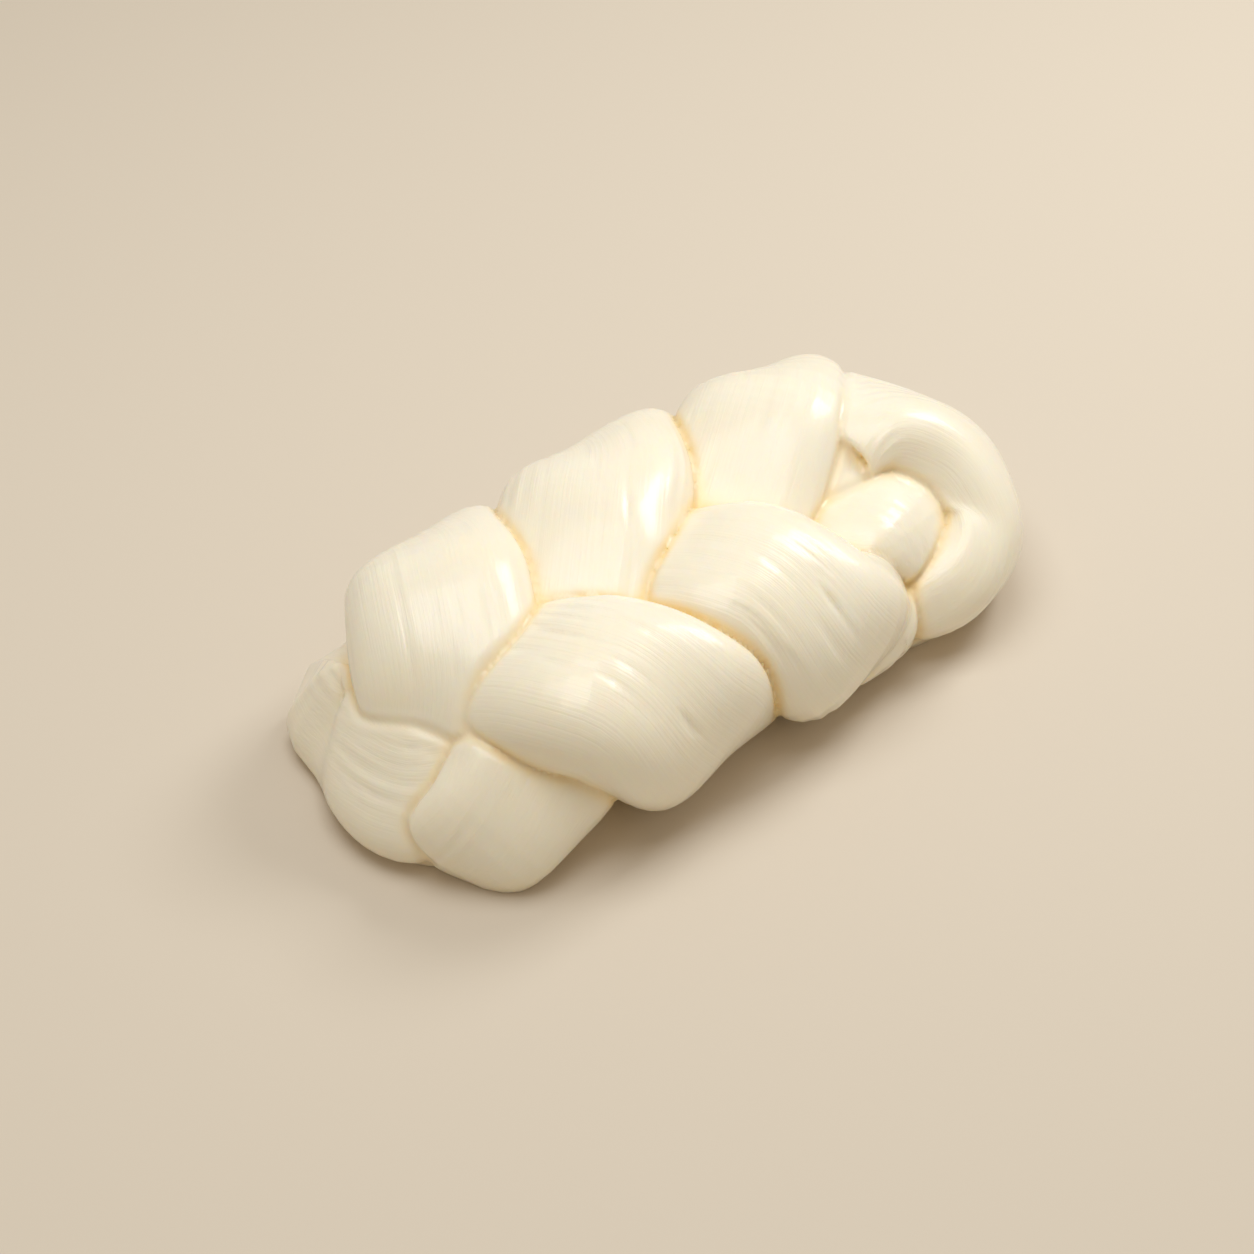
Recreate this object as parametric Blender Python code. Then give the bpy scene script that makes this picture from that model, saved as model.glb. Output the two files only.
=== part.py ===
"""A braided cheese: one plait of stretched fresh curd, about 180 mm long, in Blender 4.5.

Three flattened strands cross in the usual three-strand plait. The middle of every strand
comes from one formula with a few named sizes. Only the two ends, where the strands fold
under the plait, have places of their own. The strands grow together where they touch, so
they are fused into one solid, and that solid is flat where it rests.

Frame: the plait runs along X, +Y is the side where a strand folds back above a longer
slanting lobe, +Z is up. The origin is under the middle of the plait, on the surface that
it rests on. The sizes below are in millimetres, and the mesh is in metres.
"""

from math import cos, pi, radians, sin

import bmesh
import bpy
import numpy as np

MM = 0.001

# Sizes of the plait
LOBE_SPACING = 48.0      # from one lobe to the next along one side
STRANDS = ("first", "second", "third")
PITCH = LOBE_SPACING * len(STRANDS)   # a strand is back on the same side after this length
SWAY = 28.0              # how far a strand's middle swings to each side
SWAY_POINT = 0.06        # share of the third harmonic, which sharpens the turn at an edge
RISE = 12.0              # how far a strand's middle rises and sinks at a crossing
MID_HEIGHT = 25.0        # height of the middle of the plait before the rest is cut
DWELL = 0.45             # how much slower a strand advances while it wraps round an edge
LEAN = 0.34              # advance along X for each millimetre towards +Y
BEND_RADIUS = 420.0      # the plait is curved, with its middle bowed towards +Y
BEND_SHIFT = 2.0         # the bowed middle lies this far towards +Y
STRAND_WIDTH = 44.0
STRAND_THICKNESS = 27.0
SECTION_POWER = 2.6      # 2 is an ellipse, more is squarer
REST_CUT = 2.5           # what the soft underside loses where it rests
FIRST_START = -53.0      # where the first strand crosses the middle

# Fineness of the faceted solid
RING_SIDES = 40
RING_STEP = 4.0
TIP_RINGS = 4
SECTION_RINGS = 8
SKIN_GRAIN = 1.2         # grain of the skin that covers the fused strands, and rounds the creases
BODY_TRIANGLES = 9000

# The filling between the strands, which has no empty middle
CORE_LENGTH = 118.0
CORE_WIDTH = 44.0
CORE_HEIGHT = 24.0
CORE_SEGMENTS = 16

CURD_COLOUR = (0.90, 0.85, 0.70, 1.0)
CURD_ROUGHNESS = 0.32
SMOOTH_ANGLE = radians(50.0)


def bent(along, across):
    """Plan position of a point of the straight plait once it leans and bends."""
    turn = (along + LEAN * across) / BEND_RADIUS
    radius = BEND_RADIUS + across
    return radius * sin(turn), radius * cos(turn) - BEND_RADIUS + BEND_SHIFT


def crossing(strand, degrees, out=0.0, up=0.0, along=0.0, width=STRAND_WIDTH):
    """Station of a strand of the regular plait.

    At 0 and 180 degrees the strand crosses the middle and rises. At 45 and 225 it is the
    crest of a lobe, on the -Y and the +Y side. At 90 and 270 it wraps round the edge, and
    at 135 and 315 it lies underneath.
    """
    phase = radians(degrees)
    start = FIRST_START + LOBE_SPACING * STRANDS.index(strand)
    advance = PITCH / (2.0 * pi) * (phase + DWELL * sin(2.0 * phase) / 2.0)
    across = -(SWAY + out) * (sin(phase) - SWAY_POINT * sin(3.0 * phase))
    height = MID_HEIGHT + RISE * sin(2.0 * phase) + up
    x, y = bent(start + advance + along, across)
    flat = 2.0 * cos(phase) / (1.0 + abs(cos(phase)))
    tilt = pi / 2.0 * (1.0 - flat)
    return (x, y, height, 0.0, -sin(tilt), cos(tilt), width, STRAND_THICKNESS)


def first_strand():
    """Under the near end, round its tip, then the second -Y lobe and the third +Y lobe."""
    near_end = [
        (-34, -12, 8, 0, -0.4, 0.9, 22, 14),
        (-50, -17, 11, -0.3, -0.5, 0.8, 30, 18),
        (-61, -12, 17, -0.6, -0.4, 0.8, 34, 22),
        (-71, -4, 17, -0.7, -0.3, 0.7, 37, 21),
        (-74, 8, 17, -0.8, 0, 0.6, 32, 19),
        (-72, 18, 14, -0.8, 0.2, 0.5, 28, 15),
        (-69, 28, 15, -0.6, 0.6, 0.5, 32, 20),
        (-63, 22, 15, -0.2, 0.5, 0.9, 36, 20),
        (-58, 12, 15, 0, 0.1, 1, 40, 22),
        (-49, 6, 20, 0, -0.3, 1, 43, 26),
    ]
    middle = [
        crossing("first", 45, out=5, up=-1, along=-2, width=42),
        crossing("first", 90, out=3, along=4, width=42),
        crossing("first", 135, out=2, along=3),
        crossing("first", 180),
        crossing("first", 225, along=-2, width=42),
        crossing("first", 270, out=-4, along=-9),
    ]
    far_end = [
        (63, 18, 18, 0.6, 0.7, 0.1, 34, 24),
        (70, 4, 20, 0.7, 0.2, 0, 24, 18),
    ]
    return near_end + middle + far_end


def second_strand():
    """From under the near tip over the first +Y lobe to the third -Y lobe, then folded back."""
    near_end = [
        (-75, -8, 6, -1, -0.1, 0.4, 32, 14),
        (-66, -5, 9, -0.7, 0, 0.7, 30, 14),
        (-61, -5, 18, -0.9, 0, 0.5, 38, 18),
        (-59, -3, 27, -0.4, -0.1, 0.9, 42, 22),
    ]
    middle = [
        crossing("second", -135, width=42, along=2),
        crossing("second", -90, along=-2, width=42),
        crossing("second", -45),
        crossing("second", 0),
        crossing("second", 45, out=5, up=-1, along=-3, width=42),
        crossing("second", 90, out=4, along=1, width=40),
        crossing("second", 135, out=3, along=-4),
    ]
    far_end = [
        (41, -26, 10, 0, -0.6, -0.8, 34, 18),
        (54, -27, 13, 0.3, -1, 0.2, 28, 18),
        (56, -17, 23, 0.3, -0.4, 0.9, 50, 28),
        (51, -6, 24, 0, 0, 1, 47, 26),
        (61, 10, 17, 0, 0.2, 1, 24, 14),
    ]
    return near_end + middle + far_end


def third_strand():
    """Round the near corner, over the second +Y lobe, then the loop round the far end."""
    near_end = [
        (-57, -12, 5, 0, 0, -1, 22, 10),
        (-70, -18, 8, -0.8, -0.5, -0.4, 30, 16),
        (-67, -23, 14, -0.7, -0.7, 0.3, 32, 19),
        (-57, -21, 19, -0.3, -0.6, 0.7, 36, 22),
        (-47, -17, 22, -0.1, -0.4, 0.9, 40, 24),
        (-34, -8, 26, 0, 0, 1, 44, 26),
    ]
    middle = [
        crossing("third", -135, along=-2),
        crossing("third", -90, along=-2),
        crossing("third", -45),
        crossing("third", 0, along=-1),
    ]
    far_end = [
        (54, 8, 34, 0.1, -0.2, 1, 43, 27),
        (69, 2, 33, 0.5, 0.2, 1, 37, 27),
        (78, -13, 26, 0.8, -0.2, 0.6, 35, 27),
        (73, -25, 17, 0.7, -0.8, -0.1, 34, 25),
        (58, -27, 14, 0, -0.6, -1, 34, 22),
        (46, -22, 11, 0, -0.3, -1, 26, 16),
    ]
    return near_end + middle + far_end


def unit(vectors):
    """Vectors of length one, row by row."""
    return vectors / np.linalg.norm(vectors, axis=-1, keepdims=True)


def same_way(stations):
    """Stations as rows, with each facing turned to agree with the one before."""
    rows = np.array(stations, dtype=float)
    rows[:, 3:6] = unit(rows[:, 3:6])
    for before, row in zip(rows, rows[1:]):
        if before[3:6] @ row[3:6] < 0.0:
            row[3:6] *= -1.0
    return rows


def smooth_route(rows, step):
    """Rows about one step apart on the smooth curve through the stations."""
    gaps = np.linalg.norm(np.diff(rows[:, :3], axis=0), axis=1)
    times = np.concatenate([[0.0], np.cumsum(np.sqrt(gaps))])
    spans = np.diff(times)[:, None]
    slopes = np.diff(rows, axis=0) / spans
    middle = (slopes[:-1] * spans[1:] + slopes[1:] * spans[:-1]) / (spans[:-1] + spans[1:])
    tangents = np.concatenate([slopes[:1], middle, slopes[-1:]])
    route = []
    for index, gap in enumerate(gaps):
        count = max(1, round(gap / step))
        for part in np.arange(count) / count:
            square, cube = part ** 2, part ** 3
            route.append((2 * cube - 3 * square + 1) * rows[index]
                         + (cube - 2 * square + part) * spans[index] * tangents[index]
                         + (3 * square - 2 * cube) * rows[index + 1]
                         + (cube - square) * spans[index] * tangents[index + 1])
    route.append(rows[-1])
    return np.array(route)


def strand_rings(stations):
    """Rings of points round a strand, with small rings that round off both tips."""
    route = smooth_route(same_way(stations), RING_STEP)
    middle = route[:, :3]
    forward = unit(np.gradient(middle, axis=0))
    facing = route[:, 3:6]
    facing = unit(facing - (facing * forward).sum(axis=1)[:, None] * forward)
    sideways = np.cross(forward, facing)
    angle = np.linspace(0.0, 2.0 * pi, RING_SIDES, endpoint=False)
    reach = (np.abs(np.cos(angle)) ** SECTION_POWER
             + np.abs(np.sin(angle)) ** SECTION_POWER) ** (-1.0 / SECTION_POWER)
    wide = (reach * np.cos(angle))[None, :, None] * sideways[:, None, :]
    thick = (reach * np.sin(angle))[None, :, None] * facing[:, None, :]
    half_width = route[:, 6, None, None] / 2.0
    half_thickness = route[:, 7, None, None] / 2.0
    offsets = half_width * wide + half_thickness * thick
    rings = list(middle[:, None, :] + offsets)
    for end, way in ((0, -1.0), (-1, 1.0)):
        for number in range(1, TIP_RINGS + 1):
            lift = pi / 2.0 * number / (TIP_RINGS + 1)
            centre = middle[end] + way * forward[end] * route[end, 7] / 2.0 * sin(lift)
            ring = centre + offsets[end] * cos(lift)
            if end == 0:
                rings.insert(0, ring)
            else:
                rings.append(ring)
    return np.array(rings)


def strand_objects(name, stations, collection):
    """Closed tubes end to end through the rings of a strand, so that it may fold on itself."""
    rings = strand_rings(stations) * MM
    last = len(rings) - 1
    for first in range(0, last, SECTION_RINGS):
        tube_object(name, rings[first:min(first + SECTION_RINGS, last) + 1], collection)


def tube_object(name, rings, collection):
    """One closed tube through the rings."""
    mesh_data = bmesh.new()
    loops = [[mesh_data.verts.new(point) for point in ring] for ring in rings]
    for lower, upper in zip(loops, loops[1:]):
        for side in range(RING_SIDES):
            after = (side + 1) % RING_SIDES
            mesh_data.faces.new((lower[side], lower[after], upper[after], upper[side]))
    for loop in (loops[0], loops[-1]):
        mesh_data.faces.new(loop)
    bmesh.ops.triangulate(mesh_data, faces=mesh_data.faces)
    bmesh.ops.recalc_face_normals(mesh_data, faces=mesh_data.faces)
    mesh = bpy.data.meshes.new(name)
    mesh_data.to_mesh(mesh)
    mesh_data.free()
    collection.objects.link(bpy.data.objects.new(name, mesh))


def core_object():
    """A long round filling inside the plait, which leaves no hollow between the strands."""
    bpy.ops.mesh.primitive_uv_sphere_add(
        segments=CORE_SEGMENTS, ring_count=CORE_SEGMENTS // 2, radius=0.5,
        location=(0.0, BEND_SHIFT * MM, MID_HEIGHT * MM))
    core = bpy.context.object
    core.name = "braid"
    core.scale = (CORE_LENGTH * MM, CORE_WIDTH * MM, CORE_HEIGHT * MM)
    bpy.ops.object.transform_apply(location=True, rotation=True, scale=True)
    return core


def apply_union(core, collection):
    """Joins the strands to the core with one Boolean, and removes the loose strands."""
    union = core.modifiers.new("fuse the strands", "BOOLEAN")
    union.operation = "UNION"
    union.operand_type = "COLLECTION"
    union.collection = collection
    union.solver = "MANIFOLD"
    bpy.context.view_layer.objects.active = core
    bpy.ops.object.modifier_apply(modifier=union.name)
    for piece in list(collection.objects):
        bpy.data.objects.remove(piece, do_unlink=True)
    bpy.data.collections.remove(collection)


def even_skin(body):
    """Covers the fused strands with one even skin, thinned to the wanted triangles."""
    skin = body.modifiers.new("even skin", "REMESH")
    skin.mode = "VOXEL"
    skin.voxel_size = SKIN_GRAIN * MM
    bpy.ops.object.modifier_apply(modifier=skin.name)
    thin = body.modifiers.new("fewer faces", "DECIMATE")
    thin.ratio = BODY_TRIANGLES / (2.0 * len(body.data.polygons))
    bpy.ops.object.modifier_apply(modifier=thin.name)


def shells(mesh_data):
    """Sets of faces that hang together, the largest first."""
    left = set(mesh_data.faces)
    found = []
    while left:
        front = [left.pop()]
        shell = set(front)
        while front:
            face = front.pop()
            for edge in face.edges:
                for other in edge.link_faces:
                    if other in left:
                        left.remove(other)
                        shell.add(other)
                        front.append(other)
        found.append(shell)
    return sorted(found, key=len, reverse=True)


def rest_and_clean(body):
    """Cuts the flat rest, drops hollows and scraps, and puts the origin under the middle."""
    mesh_data = bmesh.new()
    mesh_data.from_mesh(body.data)
    for shell in shells(mesh_data)[1:]:
        bmesh.ops.delete(mesh_data, geom=list(shell), context="FACES")
    cut = bmesh.ops.bisect_plane(
        mesh_data, geom=[*mesh_data.verts, *mesh_data.edges, *mesh_data.faces],
        plane_co=(0.0, 0.0, REST_CUT * MM), plane_no=(0.0, 0.0, 1.0),
        clear_inner=True)
    rim = [item for item in cut["geom_cut"] if isinstance(item, bmesh.types.BMEdge)]
    bmesh.ops.contextual_create(mesh_data, geom=rim)
    bmesh.ops.triangulate(mesh_data, faces=mesh_data.faces)
    points = np.array([vertex.co for vertex in mesh_data.verts])
    low, high = points.min(axis=0), points.max(axis=0)
    shift = (-(low[0] + high[0]) / 2.0, -(low[1] + high[1]) / 2.0, -low[2])
    bmesh.ops.translate(mesh_data, verts=mesh_data.verts, vec=shift)
    mesh_data.to_mesh(body.data)
    mesh_data.free()
    return shift


def curd_material():
    """Moist white curd: ivory, smooth and a little translucent."""
    material = bpy.data.materials.new("stretched curd")
    material.use_nodes = True
    shader = material.node_tree.nodes["Principled BSDF"]
    shader.inputs["Base Color"].default_value = CURD_COLOUR
    shader.inputs["Roughness"].default_value = CURD_ROUGHNESS
    shader.inputs["Metallic"].default_value = 0.0
    return material


def main():
    for old in list(bpy.data.objects):
        bpy.data.objects.remove(old, do_unlink=True)
    loose = bpy.data.collections.new("strands")
    bpy.context.scene.collection.children.link(loose)
    strand_objects("first strand", first_strand(), loose)
    strand_objects("second strand", second_strand(), loose)
    strand_objects("third strand", third_strand(), loose)
    body = core_object()
    apply_union(body, loose)
    even_skin(body)
    shift = rest_and_clean(body)
    body.data.shade_smooth()
    body.data.set_sharp_from_angle(angle=SMOOTH_ANGLE)
    body.data.materials.append(curd_material())
    print("triangles", len(body.data.polygons), "shift", [round(v / MM, 2) for v in shift])


main()
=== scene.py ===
# %% [markdown]
# # A braided cheese
# The object is one plait of stretched fresh curd, 182 mm long. Three soft, flattened strands
# cross in the usual three-strand plait, fold under at both ends, and have grown together
# where they touch. The surface is ivory, moist and smooth, with the fine fibres that come
# from stretching the warm curd.
#
# The imported model gives the place and the size. The plain solid in it is then replaced by a
# finer piece that repeats the same named sizes and adds what the hand and the eye expect:
# the fibres, the soft grooves, a painted warm shade in the creases and the wet gloss.

# %% Load the frame
from math import cos, pi, radians, sin

import bpy
import numpy as np
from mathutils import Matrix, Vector
from mathutils.bvhtree import BVHTree
from mathutils.interpolate import poly_3d_calc


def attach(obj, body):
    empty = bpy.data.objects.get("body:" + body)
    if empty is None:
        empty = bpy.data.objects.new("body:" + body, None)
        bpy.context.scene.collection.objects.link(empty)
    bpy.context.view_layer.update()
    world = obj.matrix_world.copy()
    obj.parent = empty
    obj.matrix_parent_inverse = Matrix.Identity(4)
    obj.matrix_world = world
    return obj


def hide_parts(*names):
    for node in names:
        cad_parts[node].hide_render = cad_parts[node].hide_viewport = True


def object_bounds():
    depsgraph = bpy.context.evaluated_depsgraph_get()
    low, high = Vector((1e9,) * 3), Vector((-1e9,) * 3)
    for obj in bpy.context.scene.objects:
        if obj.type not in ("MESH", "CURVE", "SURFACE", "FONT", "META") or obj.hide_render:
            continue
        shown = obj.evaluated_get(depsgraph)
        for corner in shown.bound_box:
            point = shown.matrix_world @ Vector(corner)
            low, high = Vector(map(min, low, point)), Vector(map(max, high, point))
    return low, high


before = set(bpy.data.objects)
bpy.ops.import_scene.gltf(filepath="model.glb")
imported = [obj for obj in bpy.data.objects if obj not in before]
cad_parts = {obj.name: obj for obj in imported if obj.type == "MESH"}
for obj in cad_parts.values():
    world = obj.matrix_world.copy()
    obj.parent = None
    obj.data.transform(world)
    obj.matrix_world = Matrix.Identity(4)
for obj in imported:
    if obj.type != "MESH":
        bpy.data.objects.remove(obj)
cad_low, cad_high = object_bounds()
MM = 0.001
print("plain solid, mm:", [round((h - l) / MM, 1) for l, h in zip(cad_low, cad_high)])

# %% [markdown]
# ## The route of a strand
# On a real plait each strand swings from side to side, rises over one neighbour and dives
# under the next. A curve object with a bevel could do this, but its tilt is hard to steer
# where the strand wraps round an edge. So the middle of every strand comes from one formula,
# which gives for any phase the place, the direction that the flat side faces, the width and
# the thickness. All sizes are in millimetres.

# %% Sizes of the plait
LOBE_SPACING = 48.0      # from one lobe to the next along one side
STRANDS = ("first", "second", "third")
PITCH = LOBE_SPACING * len(STRANDS)   # a strand is back on the same side after this length
SWAY = 28.0              # how far a strand's middle swings to each side
SWAY_POINT = 0.06        # share of the third harmonic, which sharpens the turn at an edge
RISE = 12.0              # how far a strand's middle rises and sinks at a crossing
MID_HEIGHT = 25.0        # height of the middle of the plait before the rest is cut
DWELL = 0.45             # how much slower a strand advances while it wraps round an edge
LEAN = 0.34              # advance along X for each millimetre towards +Y
BEND_RADIUS = 420.0      # the plait is curved, with its middle bowed towards +Y
BEND_SHIFT = 2.0         # the bowed middle lies this far towards +Y
STRAND_WIDTH = 44.0
STRAND_THICKNESS = 27.0
SECTION_POWER = 2.6      # 2 is an ellipse, more is squarer
REST_CUT = 2.5           # what the soft underside loses where it rests
FIRST_START = -53.0      # where the first strand crosses the middle


def bent(along, across):
    """Plan position of a point of the straight plait once it leans and bends."""
    turn = (along + LEAN * across) / BEND_RADIUS
    radius = BEND_RADIUS + across
    return radius * sin(turn), radius * cos(turn) - BEND_RADIUS + BEND_SHIFT


def crossing(strand, degrees, out=0.0, up=0.0, along=0.0, width=STRAND_WIDTH):
    """Station of a strand of the regular plait.

    At 0 and 180 degrees the strand crosses the middle and rises. At 45 and 225 it is the
    crest of a lobe, on the -Y and the +Y side. At 90 and 270 it wraps round the edge, and
    at 135 and 315 it lies underneath.
    """
    phase = radians(degrees)
    start = FIRST_START + LOBE_SPACING * STRANDS.index(strand)
    advance = PITCH / (2.0 * pi) * (phase + DWELL * sin(2.0 * phase) / 2.0)
    across = -(SWAY + out) * (sin(phase) - SWAY_POINT * sin(3.0 * phase))
    height = MID_HEIGHT + RISE * sin(2.0 * phase) + up
    x, y = bent(start + advance + along, across)
    flat = 2.0 * cos(phase) / (1.0 + abs(cos(phase)))
    tilt = pi / 2.0 * (1.0 - flat)
    return (x, y, height, 0.0, -sin(tilt), cos(tilt), width, STRAND_THICKNESS)


print("a strand swings", 2 * SWAY, "mm and repeats every", PITCH, "mm")

# %% [markdown]
# ## The two ends
# At the ends nothing is regular: the hands fold the strands under and press them together.
# A few listed stations continue each strand there. A station is the place, the
# direction that the flat side faces, the width and the thickness.

# %% First strand
first_strand = [
    (-34, -12, 8, 0, -0.4, 0.9, 22, 14),
    (-50, -17, 11, -0.3, -0.5, 0.8, 30, 18),
    (-61, -12, 17, -0.6, -0.4, 0.8, 34, 22),
    (-71, -4, 17, -0.7, -0.3, 0.7, 37, 21),
    (-74, 8, 17, -0.8, 0, 0.6, 32, 19),
    (-72, 18, 14, -0.8, 0.2, 0.5, 28, 15),
    (-69, 28, 15, -0.6, 0.6, 0.5, 32, 20),
    (-63, 22, 15, -0.2, 0.5, 0.9, 36, 20),
    (-58, 12, 15, 0, 0.1, 1, 40, 22),
    (-49, 6, 20, 0, -0.3, 1, 43, 26),
    crossing("first", 45, out=5, up=-1, along=-2, width=42),
    crossing("first", 90, out=3, along=4, width=42),
    crossing("first", 135, out=2, along=3),
    crossing("first", 180),
    crossing("first", 225, along=-2, width=42),
    crossing("first", 270, out=-4, along=-9),
    (63, 18, 18, 0.6, 0.7, 0.1, 34, 24),
    (70, 4, 20, 0.7, 0.2, 0, 24, 18),
]

# %% Second strand
second_strand = [
    (-75, -8, 6, -1, -0.1, 0.4, 32, 14),
    (-66, -5, 9, -0.7, 0, 0.7, 30, 14),
    (-61, -5, 18, -0.9, 0, 0.5, 38, 18),
    (-59, -3, 27, -0.4, -0.1, 0.9, 42, 22),
    crossing("second", -135, width=42, along=2),
    crossing("second", -90, along=-2, width=42),
    crossing("second", -45),
    crossing("second", 0),
    crossing("second", 45, out=5, up=-1, along=-3, width=42),
    crossing("second", 90, out=4, along=1, width=40),
    crossing("second", 135, out=3, along=-4),
    (41, -26, 10, 0, -0.6, -0.8, 34, 18),
    (54, -27, 13, 0.3, -1, 0.2, 28, 18),
    (56, -17, 23, 0.3, -0.4, 0.9, 50, 28),
    (51, -6, 24, 0, 0, 1, 47, 26),
    (61, 10, 17, 0, 0.2, 1, 24, 14),
]

# %% Third strand
third_strand = [
    (-57, -12, 5, 0, 0, -1, 22, 10),
    (-70, -18, 8, -0.8, -0.5, -0.4, 30, 16),
    (-67, -23, 14, -0.7, -0.7, 0.3, 32, 19),
    (-57, -21, 19, -0.3, -0.6, 0.7, 36, 22),
    (-47, -17, 22, -0.1, -0.4, 0.9, 40, 24),
    (-34, -8, 26, 0, 0, 1, 44, 26),
    crossing("third", -135, along=-2),
    crossing("third", -90, along=-2),
    crossing("third", -45),
    crossing("third", 0, along=-1),
    (54, 8, 34, 0.1, -0.2, 1, 43, 27),
    (69, 2, 33, 0.5, 0.2, 1, 37, 27),
    (78, -13, 26, 0.8, -0.2, 0.6, 35, 27),
    (73, -25, 17, 0.7, -0.8, -0.1, 34, 25),
    (58, -27, 14, 0, -0.6, -1, 34, 22),
    (46, -22, 11, 0, -0.3, -1, 26, 16),
]
print("stations:", len(first_strand), len(second_strand), len(third_strand))

# %% [markdown]
# ## From stations to a smooth route
# The stations are few, so a smooth curve has to run through them. Each gap gets a time that
# grows with the root of its length, which keeps the curve from overshooting at the folds.
# The curve is then measured and read off again at even steps, so that the rings of the
# strand lie evenly.

# %% Smooth route
FINE_STEPS = 40          # points between two stations while the curve is measured
RING_STEP = 1.9


def unit(vectors):
    """Vectors of length one, row by row."""
    return vectors / np.linalg.norm(vectors, axis=-1, keepdims=True)


def same_way(stations):
    """Stations as rows with their number last, each facing turned to agree with the last."""
    rows = np.array(stations, dtype=float)
    rows[:, 3:6] = unit(rows[:, 3:6])
    for before, row in zip(rows, rows[1:]):
        if before[3:6] @ row[3:6] < 0.0:
            row[3:6] *= -1.0
    return np.column_stack([rows, np.arange(len(rows))])


def smooth_route(rows, step):
    """Rows on the smooth curve through the stations, one step apart, with the way travelled."""
    gaps = np.linalg.norm(np.diff(rows[:, :3], axis=0), axis=1)
    times = np.concatenate([[0.0], np.cumsum(np.sqrt(gaps))])
    spans = np.diff(times)[:, None]
    slopes = np.diff(rows, axis=0) / spans
    middle = (slopes[:-1] * spans[1:] + slopes[1:] * spans[:-1]) / (spans[:-1] + spans[1:])
    tangents = np.concatenate([slopes[:1], middle, slopes[-1:]])
    fine = []
    for index in range(len(gaps)):
        for part in np.linspace(0.0, 1.0, FINE_STEPS, endpoint=False):
            square, cube = part ** 2, part ** 3
            fine.append((2 * cube - 3 * square + 1) * rows[index]
                        + (cube - 2 * square + part) * spans[index] * tangents[index]
                        + (3 * square - 2 * cube) * rows[index + 1]
                        + (cube - square) * spans[index] * tangents[index + 1])
    fine = np.array(fine + [rows[-1]])
    travel = np.linalg.norm(np.diff(fine[:, :3], axis=0), axis=1)
    travel = np.concatenate([[0.0], np.cumsum(travel)])
    even = np.linspace(0.0, travel[-1], round(travel[-1] / step))
    columns = [np.interp(even, travel, column) for column in fine.T]
    return np.column_stack(columns + [even])


routes = {name: smooth_route(same_way(stations), RING_STEP)
          for name, stations in zip(STRANDS, (first_strand, second_strand, third_strand))}
for name, route in routes.items():
    print(name, "strand:", round(route[-1, -1]), "mm long,", len(route), "rings")

# %% [markdown]
# ## Relief of the skin
# Stretching lines the curd up into fibres that run along the strand. Seen close, the skin
# has three kinds of relief: broad swellings left by the fingers, soft ridges a few
# millimetres wide that come and go, and the fine fibres themselves. Noise from a texture
# would have to be applied with a Displace modifier and can't follow a strand that turns, so
# the relief is a sum of waves in the strand's own terms: the distance along it and the angle
# round it. Whole numbers of waves round the strand close without a seam.

# %% Waves along and round a strand
SWELLING = 0.3
RIDGE = 0.035
FIBRE = 0.010


def waves(rng, along, angle, counts, length, number):
    """Uneven waves with a height near one: counts is the range of waves round the strand."""
    total = np.zeros_like(along)
    for _ in range(number):
        turns = rng.integers(counts[0], counts[1] + 1)
        slow = rng.normal() / length
        total += np.sin(turns * angle + 2.0 * pi * slow * along + rng.uniform(0.0, 2.0 * pi))
    return total / np.sqrt(number / 2.0)


def relief(seed, along, angle):
    """Height of the skin in millimetres over the plain section."""
    rng = np.random.default_rng(seed)
    swelling = waves(rng, along, angle, counts=(1, 3), length=60.0, number=6)
    patches = waves(rng, along, angle, counts=(1, 5), length=40.0, number=8)
    patches = np.clip(0.4 + 0.7 * patches, 0.0, 1.6)   # where the ridges come and go
    ridges = patches ** 2 * waves(rng, along, angle, counts=(16, 34), length=70.0, number=14)
    fibres = patches * waves(rng, along, angle, counts=(45, 90), length=45.0, number=18)
    return SWELLING * swelling + RIDGE * ridges + FIBRE * fibres


# %% [markdown]
# ## Grooves and wrinkles
# Some marks have their own place. A seam runs along each of the three lobes on the far
# side, where the edge of the sheet of curd was folded under. Grooves fan out over the first
# lobe at the near tip, and the loop at the far end has a few soft ridges along its crest.
# Where a strand is bent most, its skin gathers in short wrinkles. Each mark is a line on
# one strand: from one station to another, with its distance across at both ends, its depth
# and half its width. Seams and grooves are listed one by one, and wrinkles are drawn at random in
# the patches that have them. All of them lie on the upper side of the strands.

# %% Lines on the strands
SEAM_ACROSS = -8.0
SEAM = (0.14, 0.6)           # depth and half the width
FAN_GROOVE = (0.11, 0.7)
LOOP_GROOVE = (0.22, 1.0)
marks = {
    "first": [(13.1, 14.9, SEAM_ACROSS, SEAM_ACROSS - 1.0, *SEAM)],
    "second": [(3.1, 4.8, SEAM_ACROSS + 1.0, SEAM_ACROSS, *SEAM)],
    "third": [(5.0, 6.8, SEAM_ACROSS, SEAM_ACROSS - 1.0, *SEAM)],
}
marks["first"] += [(4.6, 2.2, -5.0 + 2.2 * n, -13.0 + 5.2 * n, *FAN_GROOVE) for n in range(6)]
marks["third"] += [(10.1, 12.2, -7.0 + 3.4 * n, -6.0 + 3.0 * n, *LOOP_GROOVE) for n in range(4)]

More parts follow.
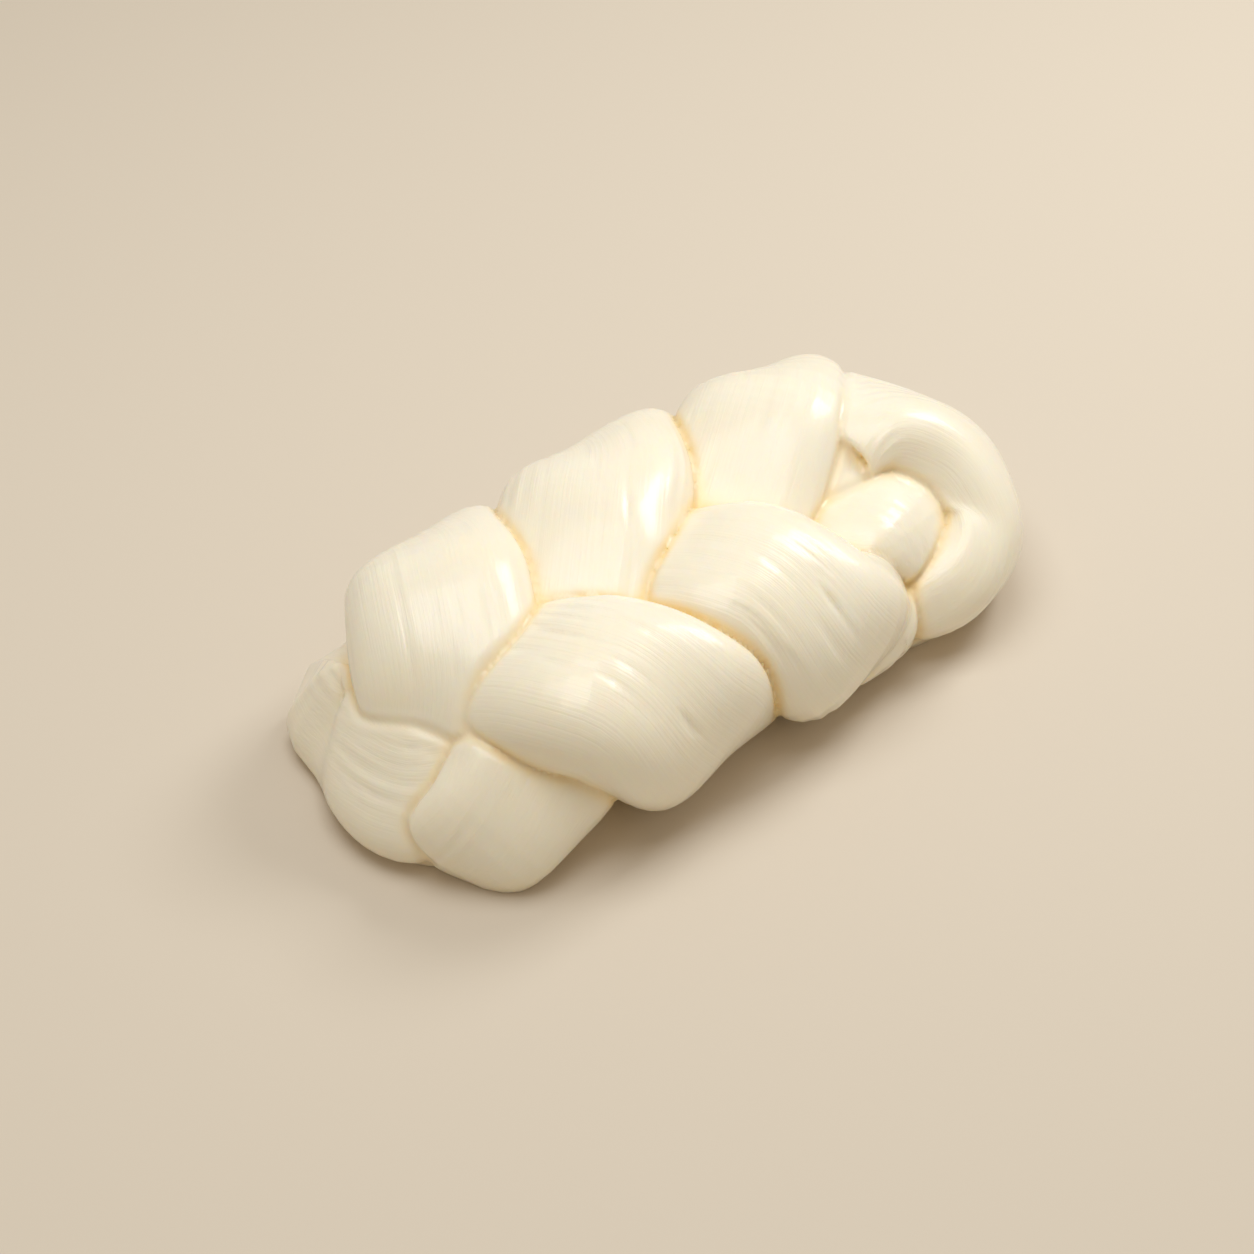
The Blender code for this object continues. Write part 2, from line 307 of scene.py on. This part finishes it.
# %% Wrinkles
# strand, stations, distances across, number and depth of the wrinkles of each lobe
WRINKLES = (
    ("first", 9.2, 10.9, -14.0, 8.0, 26, 0.22),
    ("second", 7.3, 8.8, -14.0, 9.0, 24, 0.18),
    ("second", 12.4, 13.9, -17.0, 17.0, 24, 0.20),
    ("third", 5.3, 6.5, 0.0, 14.0, 12, 0.14),
    ("first", 13.2, 14.6, -2.0, 14.0, 14, 0.13),
    ("second", 3.3, 4.6, 0.0, 14.0, 10, 0.12),
    ("third", 2.8, 4.2, -12.0, 12.0, 12, 0.12),
    ("first", 2.4, 4.0, -12.0, 12.0, 10, 0.12),
)
HALF_LENGTH = (0.08, 0.25)   # in stations
DRIFT = 0.5                  # usual slant across, from the middle of a wrinkle to its end
DEPTH_SPREAD = (0.4, 1.6)    # times the depth above
HALF_WIDTH = (0.5, 0.8)

draw = np.random.default_rng(7)
for strand, start, end, left, right, number, depth in WRINKLES:
    for _ in range(number):
        middle, across = draw.uniform(start, end), draw.uniform(left, right)
        half, drift = draw.uniform(*HALF_LENGTH), draw.normal(0.0, DRIFT)
        marks[strand].append((middle - half, middle + half, across - drift, across + drift,
                              depth * draw.uniform(*DEPTH_SPREAD), draw.uniform(*HALF_WIDTH)))
print("lines on the strands:", {name: len(lines) for name, lines in marks.items()})

# %% How far the lines lower the skin
WANDER = 0.35                # how far a line strays from straight


def lines_on(name, station, across):
    """How far the lines of a strand lower its skin, in millimetres."""
    lowered = np.zeros_like(across)
    for start, end, first_across, last_across, depth, half_width in marks[name]:
        part = (station - start) / (end - start)
        wander = WANDER * np.sin(5.0 * station + first_across)
        line = first_across + (last_across - first_across) * part + wander
        fade = np.clip(4.0 * np.minimum(part, 1.0 - part), 0.0, 1.0)
        lowered += depth * fade * np.exp(-((across - line) / half_width) ** 2)
    return lowered


# %% [markdown]
# ## A strand as a shaped cylinder
# A cylinder has the right faces from the start: columns that run along the strand and rings
# round it. It is added with its two ends filled, its long edges are selected, and one
# operator cuts all the rings. Each point then moves to the ring of the route that it belongs
# to. The last rings at each end shrink, so that the tip is round.

# %% A cylinder with many rings
STRAND_SIDES = 300
TIP_RINGS = 6


def points_of(piece):
    """Positions of a mesh's points as rows."""
    flat = np.empty(len(piece.data.vertices) * 3)
    piece.data.vertices.foreach_get("co", flat)
    return flat.reshape(-1, 3)


def ringed_cylinder(name, rings):
    """A closed cylinder one metre high with the wanted number of rings."""
    bpy.ops.object.select_all(action="DESELECT")
    bpy.ops.mesh.primitive_cylinder_add(vertices=STRAND_SIDES, radius=1.0, depth=1.0,
                                        end_fill_type="TRIFAN")
    piece = bpy.context.object
    piece.name = name
    bpy.ops.object.mode_set(mode="EDIT")
    bpy.ops.mesh.select_mode(type="EDGE")
    bpy.ops.mesh.select_all(action="DESELECT")
    bpy.ops.object.mode_set(mode="OBJECT")
    heights = points_of(piece)[:, 2]
    for edge in piece.data.edges:
        lower, upper = edge.vertices
        edge.select = bool(abs(heights[lower] - heights[upper]) > 0.5)
    bpy.ops.object.mode_set(mode="EDIT")
    bpy.ops.mesh.subdivide_edgering(number_cuts=rings - 2, interpolation="LINEAR",
                                    smoothness=0.0)
    bpy.ops.object.mode_set(mode="OBJECT")
    return piece


# %% Move the cylinder onto the route
def strand_piece(strand, seed, route, start, end):
    """The part of a strand from one ring of its route to another, round at the tips."""
    before = TIP_RINGS if start == 0 else 0
    after = TIP_RINGS if end == len(route) - 1 else 0
    rings = before + end - start + 1 + after
    piece = ringed_cylinder(strand, rings)
    place = points_of(piece)
    ring = np.rint((place[:, 2] + 0.5) * (rings - 1)).astype(int) - before
    angle = np.arctan2(place[:, 1], place[:, 0])
    rim = np.hypot(place[:, 0], place[:, 1]) > 0.5

    row = np.clip(start + ring, start, end)
    past = np.where(ring < 0, ring / (before + 0.5), 0.0)
    past = np.where(start + ring > end, (start + ring - end) / (after + 0.5), past)
    past = np.where(~rim & (past != 0.0), np.sign(past), past) * pi / 2.0

    middle = route[:, :3]
    forward = unit(np.gradient(middle, axis=0))
    facing = route[:, 3:6]
    facing = unit(facing - (facing * forward).sum(axis=1)[:, None] * forward)
    sideways = np.cross(forward, facing)
    reach = (np.abs(np.cos(angle)) ** SECTION_POWER
             + np.abs(np.sin(angle)) ** SECTION_POWER) ** (-1.0 / SECTION_POWER)
    wide = route[row, 6] / 2.0 * reach * np.cos(angle)
    thick = route[row, 7] / 2.0 * reach * np.sin(angle)
    offset = wide[:, None] * sideways[row] + thick[:, None] * facing[row]
    offset[~rim] = 0.0
    offset *= np.cos(past)[:, None]
    offset += (np.sin(past) * route[row, 7] / 2.0)[:, None] * forward[row]
    spot = (middle[row] + offset) * MM
    piece.data.vertices.foreach_set("co", spot.ravel())

    along, station = route[row, -1], route[row, 8]
    trail = np.column_stack([along, wide, thick])
    height = relief(seed, along, angle)
    height -= np.where(offset[:, 2] > 0.0, lines_on(strand, station, wide), 0.0)
    return piece, (spot, trail, height)


# %% [markdown]
# A strand that folds tightly or comes back over itself can't be one closed piece, because
# its walls would cross. Such a strand is made in parts that share a ring. For every point
# the script remembers its trail, which is how far along the strand and how far across it
# lies, and the height of the relief there. Both are needed again once the strands are one.

# %% Model the strands
# stations at which a strand is cut into parts
CUTS = {
    "first": (1.0, 2.0, 3.0, 4.0, 5.0, 6.0, 7.0, 8.7),
    "second": (1.0, 1.6, 2.3, 3.2, 10.0, 10.7, 11.4, 12.2, 13.0),
    "third": (1.0, 1.6, 2.4, 3.2, 11.4, 12.2, 13.0, 14.0),
}
parts = []
skins = []


def model_strand(name, seed):
    """Adds the parts of a strand, and keeps its skin for later."""
    route = routes[name]
    rings = [int(np.argmin(np.abs(route[:, 8] - cut))) for cut in CUTS[name]]
    spots, trails, heights, faces = [], [], [], []
    count = 0
    for start, end in zip([0] + rings, rings + [len(route) - 1]):
        piece, (spot, trail, height) = strand_piece(name, seed, route, start, end)
        parts.append(piece)
        spots.append(spot)
        trails.append(trail)
        heights.append(height)
        faces += [[count + corner for corner in face.vertices] for face in piece.data.polygons]
        count += len(spot)
    spots = np.concatenate(spots)
    skins.append({"name": name, "spots": spots, "trails": np.concatenate(trails),
                  "heights": np.concatenate(heights), "faces": faces,
                  "tree": BVHTree.FromPolygons(spots.tolist(), faces)})


for seed, name in enumerate(STRANDS, start=1):
    model_strand(name, seed)
print("strand parts:", len(parts), "points:", sum(len(skin["spots"]) for skin in skins))

# %% [markdown]
# ## Fuse the strands
# Warm curd sticks to itself, so the strands have grown together. A Boolean union would join
# them too, but it leaves a knife-sharp line in every crease and stumbles on the folds. Here
# the parts and a core that fills the middle are joined, and a voxel remesh draws one even
# skin over them, with a small round in the creases as in the real thing. A light smoothing
# takes out the steps of the voxels.

# %% The core between the strands
CORE_LENGTH = 118.0
CORE_WIDTH = 44.0
CORE_HEIGHT = 24.0

bpy.ops.object.select_all(action="DESELECT")
bpy.ops.mesh.primitive_uv_sphere_add(segments=32, ring_count=16, radius=0.5,
                                     location=(0.0, BEND_SHIFT * MM, MID_HEIGHT * MM))
braid = bpy.context.object
braid.name = "curd_braid"
braid.scale = (CORE_LENGTH * MM, CORE_WIDTH * MM, CORE_HEIGHT * MM)
bpy.ops.object.transform_apply(location=True, rotation=True, scale=True)

# %% One skin over all
SKIN_GRAIN = 0.77   # the size of the voxels, which sets the number of triangles; keeps the piece under 200,000 triangles

for part in parts:
    part.select_set(True)
bpy.context.view_layer.objects.active = braid
bpy.ops.object.join()
even = braid.modifiers.new("one skin", "REMESH")
even.mode = "VOXEL"
even.voxel_size = SKIN_GRAIN * MM
bpy.ops.object.modifier_apply(modifier=even.name)
calm = braid.modifiers.new("no voxel steps", "SMOOTH")
calm.factor = 0.5
calm.iterations = 2
bpy.ops.object.modifier_apply(modifier=calm.name)
print("skin faces:", len(braid.data.polygons))

# %% [markdown]
# ## The flat underside
# A soft plait settles on what it lies on. It is cut level near its lowest point and the cut
# is filled.

# %% Cut the rest
bpy.ops.object.select_all(action="DESELECT")
braid.select_set(True)
bpy.ops.object.mode_set(mode="EDIT")
bpy.ops.mesh.select_all(action="SELECT")
bpy.ops.mesh.bisect(plane_co=(0.0, 0.0, REST_CUT * MM), plane_no=(0.0, 0.0, 1.0),
                    use_fill=True, clear_inner=True, clear_outer=False)
bpy.ops.object.mode_set(mode="OBJECT")
print("faces above the rest:", len(braid.data.polygons))

# %% [markdown]
# ## Bring the relief back
# Every point of the one skin finds the strand that it came from. It takes over the trail
# and the height of the relief from the nearest place on that strand. Close to another
# strand the relief fades, because there the curd is pressed flat, and where two strands are
# equally near a soft groove marks the crease. Nothing is raised at the level underside.

# %% Find the strand under every point
PRESS_REACH = 2.5            # the relief is whole this far from the next strand
TRAIL_APART = 500.0          # keeps the fibre patterns of the strands apart


def nearest_on(skin, spot):
    """Trail and relief at the place on a strand that is nearest to a spot."""
    found, _, face, _ = skin["tree"].find_nearest(spot)
    corners = skin["faces"][face]
    shares = poly_3d_calc([skin["spots"][corner] for corner in corners], found)
    trail = sum(share * skin["trails"][corner] for share, corner in zip(shares, corners))
    height = sum(share * skin["heights"][corner] for share, corner in zip(shares, corners))
    return trail, height


place = points_of(braid)
distances = np.array([[skin["tree"].find_nearest(spot)[3] for skin in skins]
                      for spot in place])
owner = distances.argmin(axis=1)
ordered = np.sort(distances, axis=1)
gaps = ordered[:, 1] - ordered[:, 0]
press = np.clip(gaps / (PRESS_REACH * MM), 0.0, 1.0)
press = press ** 2 * (3.0 - 2.0 * press)
trails = np.zeros((len(place), 3))
heights = np.zeros(len(place))
for number, spot in enumerate(place):
    trails[number], heights[number] = nearest_on(skins[owner[number]], spot)
trails[:, 0] += TRAIL_APART * owner
print("points of each strand:", np.bincount(owner))

# %% Raise the relief and place the piece
GROOVE_DEPTH = 0.7
GROOVE_WIDTH = 0.8
REST_FADE = 3.0              # above the cut, the relief grows over this height

normals = np.empty(len(place) * 3)
braid.data.vertices.foreach_get("normal", normals)
normals = normals.reshape(-1, 3)
above = np.clip((place[:, 2] / MM - REST_CUT) / REST_FADE, 0.0, 1.0)
groove = GROOVE_DEPTH * np.exp(-(gaps / (GROOVE_WIDTH * MM)) ** 2)
place += ((heights * press - groove) * above * MM)[:, None] * normals
place[:, 2] = np.maximum(place[:, 2], REST_CUT * MM)
low, high = place.min(axis=0), place.max(axis=0)
shift = np.array([(cad_low[0] + cad_high[0] - low[0] - high[0]) / 2.0,
                  (cad_low[1] + cad_high[1] - low[1] - high[1]) / 2.0,
                  cad_low[2] - low[2]])
place += shift
braid.data.vertices.foreach_set("co", place.ravel())
fibre = braid.data.attributes.new("fibre", "FLOAT_VECTOR", "POINT")
fibre.data.foreach_set("vector", (trails * MM).astype(np.float32).ravel())
free = braid.data.attributes.new("free", "FLOAT", "POINT")
free.data.foreach_set("value", press.astype(np.float32))
bpy.ops.object.shade_smooth_by_angle(angle=radians(60.0))
print("moved by, mm:", (shift / MM).round(2), "size, mm:", ((high - low) / MM).round(1))

# %% [markdown]
# ## Painted shade in the creases
# The creases, the undersides and the lowest curd get a painted shade: a darker, warmer yellow
# stands in for the shade there and for the light that has passed through more curd. How closed
# in a point lies is measured by sending short rays out from it. The share that is stopped, a
# little more on the undersides and low down, is evened out over the neighbours and kept as an
# attribute.

# %% Measure how closed in each point lies
CREASE_REACH = 9.0
CREASE_RAYS = 24
RAY_GAP = 0.05               # a ray starts this far off the skin
# painted shade added on the undersides and on the lowest curd
UNDERSIDE_PAINTED_SHADE = 0.16
LOW_PAINTED_SHADE = 0.10
LOW_HEIGHT = 20.0
EVEN_ROUNDS = 4


def closed_in(piece):
    """For each point, the share of short rays that another part of the skin stops."""
    tree = BVHTree.FromPolygons([v.co for v in piece.data.vertices],
                                [p.vertices for p in piece.data.polygons])
    turn = np.arange(CREASE_RAYS) * pi * (3.0 - 5.0 ** 0.5)
    rise = (np.arange(CREASE_RAYS) + 0.5) / CREASE_RAYS
    flat = np.sqrt(1.0 - rise ** 2)
    shares = np.zeros(len(piece.data.vertices))
    for number, vertex in enumerate(piece.data.vertices):
        normal = vertex.normal
        side = normal.orthogonal().normalized()
        other = normal.cross(side)
        start = vertex.co + normal * RAY_GAP * MM
        stopped = 0.0
        for ray in range(CREASE_RAYS):
            way = (side * (flat[ray] * cos(turn[ray])) + other * (flat[ray] * sin(turn[ray]))
                   + normal * rise[ray])
            hit = tree.ray_cast(start, way, CREASE_REACH * MM)
            if hit[0] is not None:
                stopped += 1.0 - hit[3] / (CREASE_REACH * MM)
        shares[number] = stopped / CREASE_RAYS
    return shares


# painted shade: how closed in a point lies sets how much warm shade its colour gets
painted_shade = closed_in(braid)
upward = np.array([vertex.normal.z for vertex in braid.data.vertices])
level = points_of(braid)[:, 2] / MM
# painted shade on the undersides and low down, where less light falls
painted_shade += (UNDERSIDE_PAINTED_SHADE * np.clip(0.2 - upward, 0.0, 1.0)
           + LOW_PAINTED_SHADE * np.clip(1.0 - level / LOW_HEIGHT, 0.0, 1.0))
ends = np.array([edge.vertices for edge in braid.data.edges])
for _ in range(EVEN_ROUNDS):
    total, count = painted_shade.copy(), np.ones(len(painted_shade))
    for near, far in ((0, 1), (1, 0)):
        np.add.at(total, ends[:, near], painted_shade[ends[:, far]])
        np.add.at(count, ends[:, near], 1.0)
    painted_shade = total / count
# the painted shade is kept as an attribute for the material
layer = braid.data.attributes.new("painted_shade", "FLOAT", "POINT")
layer.data.foreach_set("value", painted_shade.astype(np.float32))
print("closed in: mean", painted_shade.mean().round(3), "most", painted_shade.max().round(3))

# %% [markdown]
# ## The curd
# Stretched fresh curd is a moist, milky solid. Light goes a few millimetres into it, and red
# goes furthest, which gives the ivory its warmth. A thin film of whey lies on it, so the
# gloss is sharp on the swellings. The fibres show in the gloss: they are a fine bump that
# runs along each strand, drawn from the trail that every point took over from its strand.

# %% Helpers for materials
def linear(code):
    """Linear colour of an sRGB hex value."""
    parts = [int(code[index:index + 2], 16) / 255.0 for index in (1, 3, 5)]
    curve = [p / 12.92 if p <= 0.04045 else ((p + 0.055) / 1.055) ** 2.4 for p in parts]
    return (*curve, 1.0)


def add_node(tree, kind, links=(), settings=(), values=()):
    """Adds a node with its settings, its socket values and its incoming links."""
    node = tree.nodes.new(kind)
    for key, value in dict(settings).items():
        setattr(node, key, value)
    for key, value in dict(values).items():
        node.inputs[key].default_value = value
    for key, source in dict(links).items():
        tree.links.new(source, node.inputs[key])
    return node


# %% Stretched curd
# Fresh mozzarella curd, kneaded in hot water and drawn out by hand: an ivory solid with a
# satin skin of fibres. The coat is the film of whey, and the light enters about a millimetre.
IVORY = linear("#FBEDD8")
# painted shade: the darker, warmer yellow of the creases, the undersides and the low curd
PAINTED_SHADE_TINT = linear("#F1D898")     # deep in the creases
PALE = linear("#FDF2E4")
LIGHT_DEPTH = 1.0
FIBRE_LENGTH = 25.0
FIBRE_WIDTH = 2.0 / 3.0      # real fibres are finer, but would not show
FIBRE_HEIGHT = 0.12
PATCH_SIZE = 50.0 / 3.0      # paler and deeper ivory change over about 17 mm
# painted shade begins and is full at these shares of closed in
PAINTED_SHADE_RANGE = (0.04, 0.62)  # closed in so far: still ivory, fully warm
ALONG_FIBRE = (1.0 / (FIBRE_LENGTH * MM), 1.0 / (FIBRE_WIDTH * MM), 1.0 / (FIBRE_WIDTH * MM))

curd = bpy.data.materials.new("wet stretched curd")
curd.use_nodes = True
tree = curd.node_tree
shader = tree.nodes["Principled BSDF"]
shader.inputs["Roughness"].default_value = 0.34
shader.inputs["IOR"].default_value = 1.4
shader.inputs["Subsurface Weight"].default_value = 1.0
shader.inputs["Subsurface Radius"].default_value = (1.0, 0.85, 0.6)
shader.inputs["Subsurface Scale"].default_value = LIGHT_DEPTH * MM
shader.inputs["Coat Weight"].default_value = 0.5
shader.inputs["Coat Roughness"].default_value = 0.13
shader.inputs["Coat IOR"].default_value = 1.34

place_node = add_node(tree, "ShaderNodeTexCoord")
trail_node = add_node(tree, "ShaderNodeAttribute", settings={"attribute_name": "fibre"})
painted_shade_node = add_node(tree, "ShaderNodeAttribute", settings={"attribute_name": "painted_shade"})
along_fibre = add_node(tree, "ShaderNodeVectorMath", links={0: trail_node.outputs["Vector"]},
                       settings={"operation": "MULTIPLY"}, values={1: ALONG_FIBRE})
fibre_noise = add_node(tree, "ShaderNodeTexNoise", links={"Vector": along_fibre.outputs[0]},
                       values={"Scale": 1.0, "Detail": 3.0, "Roughness": 0.55})
patch_noise = add_node(tree, "ShaderNodeTexNoise", links={"Vector": place_node.outputs["Object"]},
                       values={"Scale": 1.0 / (PATCH_SIZE * MM), "Detail": 2.0})
# painted shade: the warm colour is mixed in by how closed in a point lies
painted_shade_amount = add_node(tree, "ShaderNodeMapRange", links={"Value": painted_shade_node.outputs["Fac"]},
                  settings={"interpolation_type": "SMOOTHSTEP"},
                  values={"From Min": PAINTED_SHADE_RANGE[0], "From Max": PAINTED_SHADE_RANGE[1]})
mottle = add_node(tree, "ShaderNodeMix", links={"Factor": patch_noise.outputs["Fac"]},
                  settings={"data_type": "RGBA"}, values={"A": IVORY, "B": PALE})
colour = add_node(tree, "ShaderNodeMix",
                  links={"Factor": painted_shade_amount.outputs["Result"], "A": mottle.outputs["Result"]},
                  settings={"data_type": "RGBA"}, values={"B": PAINTED_SHADE_TINT})
free_node = add_node(tree, "ShaderNodeAttribute", settings={"attribute_name": "free"})
bump = add_node(tree, "ShaderNodeBump", links={"Height": fibre_noise.outputs["Fac"],
                                               "Strength": free_node.outputs["Fac"]},
                values={"Distance": FIBRE_HEIGHT * MM})
tree.links.new(colour.outputs["Result"], shader.inputs["Base Color"])
tree.links.new(bump.outputs["Normal"], shader.inputs["Normal"])
braid.data.materials.clear()
braid.data.materials.append(curd)
print("material:", curd.name, "nodes:", len(tree.nodes))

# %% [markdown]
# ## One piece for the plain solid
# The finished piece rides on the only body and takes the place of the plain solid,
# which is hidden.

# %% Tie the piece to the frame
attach(braid, "root")
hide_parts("braid")

# %% [markdown]
# ## Floor
# The plait lies on plain matt paper, which is pale and a little warm.

# %% Floor
bpy.ops.object.select_all(action="DESELECT")
bpy.ops.mesh.primitive_plane_add(size=4.0, location=(0.0, 0.0, 0.0))
floor = bpy.context.object
floor.name = "floor"
paper = bpy.data.materials.new("matt paper")
paper.use_nodes = True
paper_shader = paper.node_tree.nodes["Principled BSDF"]
paper_shader.inputs["Base Color"].default_value = linear("#D6CDBE")
paper_shader.inputs["Roughness"].default_value = 0.9
floor.data.materials.append(paper)


# %% [markdown]
# ## Light
# A soft lamp beyond the far end draws the streaks of gloss on the lobes, and a larger one
# overhead keeps the upper sides bright. A pale surrounding fills the shadows.

# %% Light
def soft_lamp(name, place, target, size, power):
    """A square lamp that faces a target. Places and size are in metres, power in watts."""
    lamp = bpy.data.lights.new(name, "AREA")
    lamp.size = size
    lamp.energy = power
    holder = bpy.data.objects.new(name, lamp)
    holder.location = place
    holder.rotation_euler = (Vector(target) - Vector(place)).to_track_quat("-Z", "Y").to_euler()
    bpy.context.scene.collection.objects.link(holder)


soft_lamp("window", place=(0.54, 0.02, 0.56), target=(0.0, 0.0, 0.02), size=0.26, power=2.3)
soft_lamp("ceiling", place=(-0.08, 0.04, 0.8), target=(0.0, 0.0, 0.0), size=0.5, power=3.0)
world = bpy.data.worlds.new("pale room")
world.use_nodes = True
background = world.node_tree.nodes["Background"]
background.inputs["Color"].default_value = linear("#FFF0DA")
background.inputs["Strength"].default_value = 0.42
bpy.context.scene.world = world
bpy.context.scene.view_settings.view_transform = "Standard"

# %% [markdown]
# ## Camera
# The camera looks down on the plait from its near corner. Its place was fitted to the
# outline and the crossings of the real plait.

# %% Camera
TARGET = Vector((-8.9, 0.9, 20.0)) * MM + Vector(shift)   # the middle of the picture
BACK = Vector((-0.470, -0.560, 0.682)).normalized()       # from there towards the camera
DISTANCE = 0.611
LENS = 78.0
SENSOR = 36.0

camera_data = bpy.data.cameras.new("camera")
camera_data.lens = LENS
camera_data.sensor_width = SENSOR
camera_data.clip_start = 0.01
camera = bpy.data.objects.new("camera", camera_data)
camera.location = TARGET + BACK * DISTANCE
camera.rotation_euler = BACK.to_track_quat("Z", "Y").to_euler()
bpy.context.scene.collection.objects.link(camera)
bpy.context.scene.camera = camera
print("camera at, mm:", [round(v / MM) for v in camera.location])
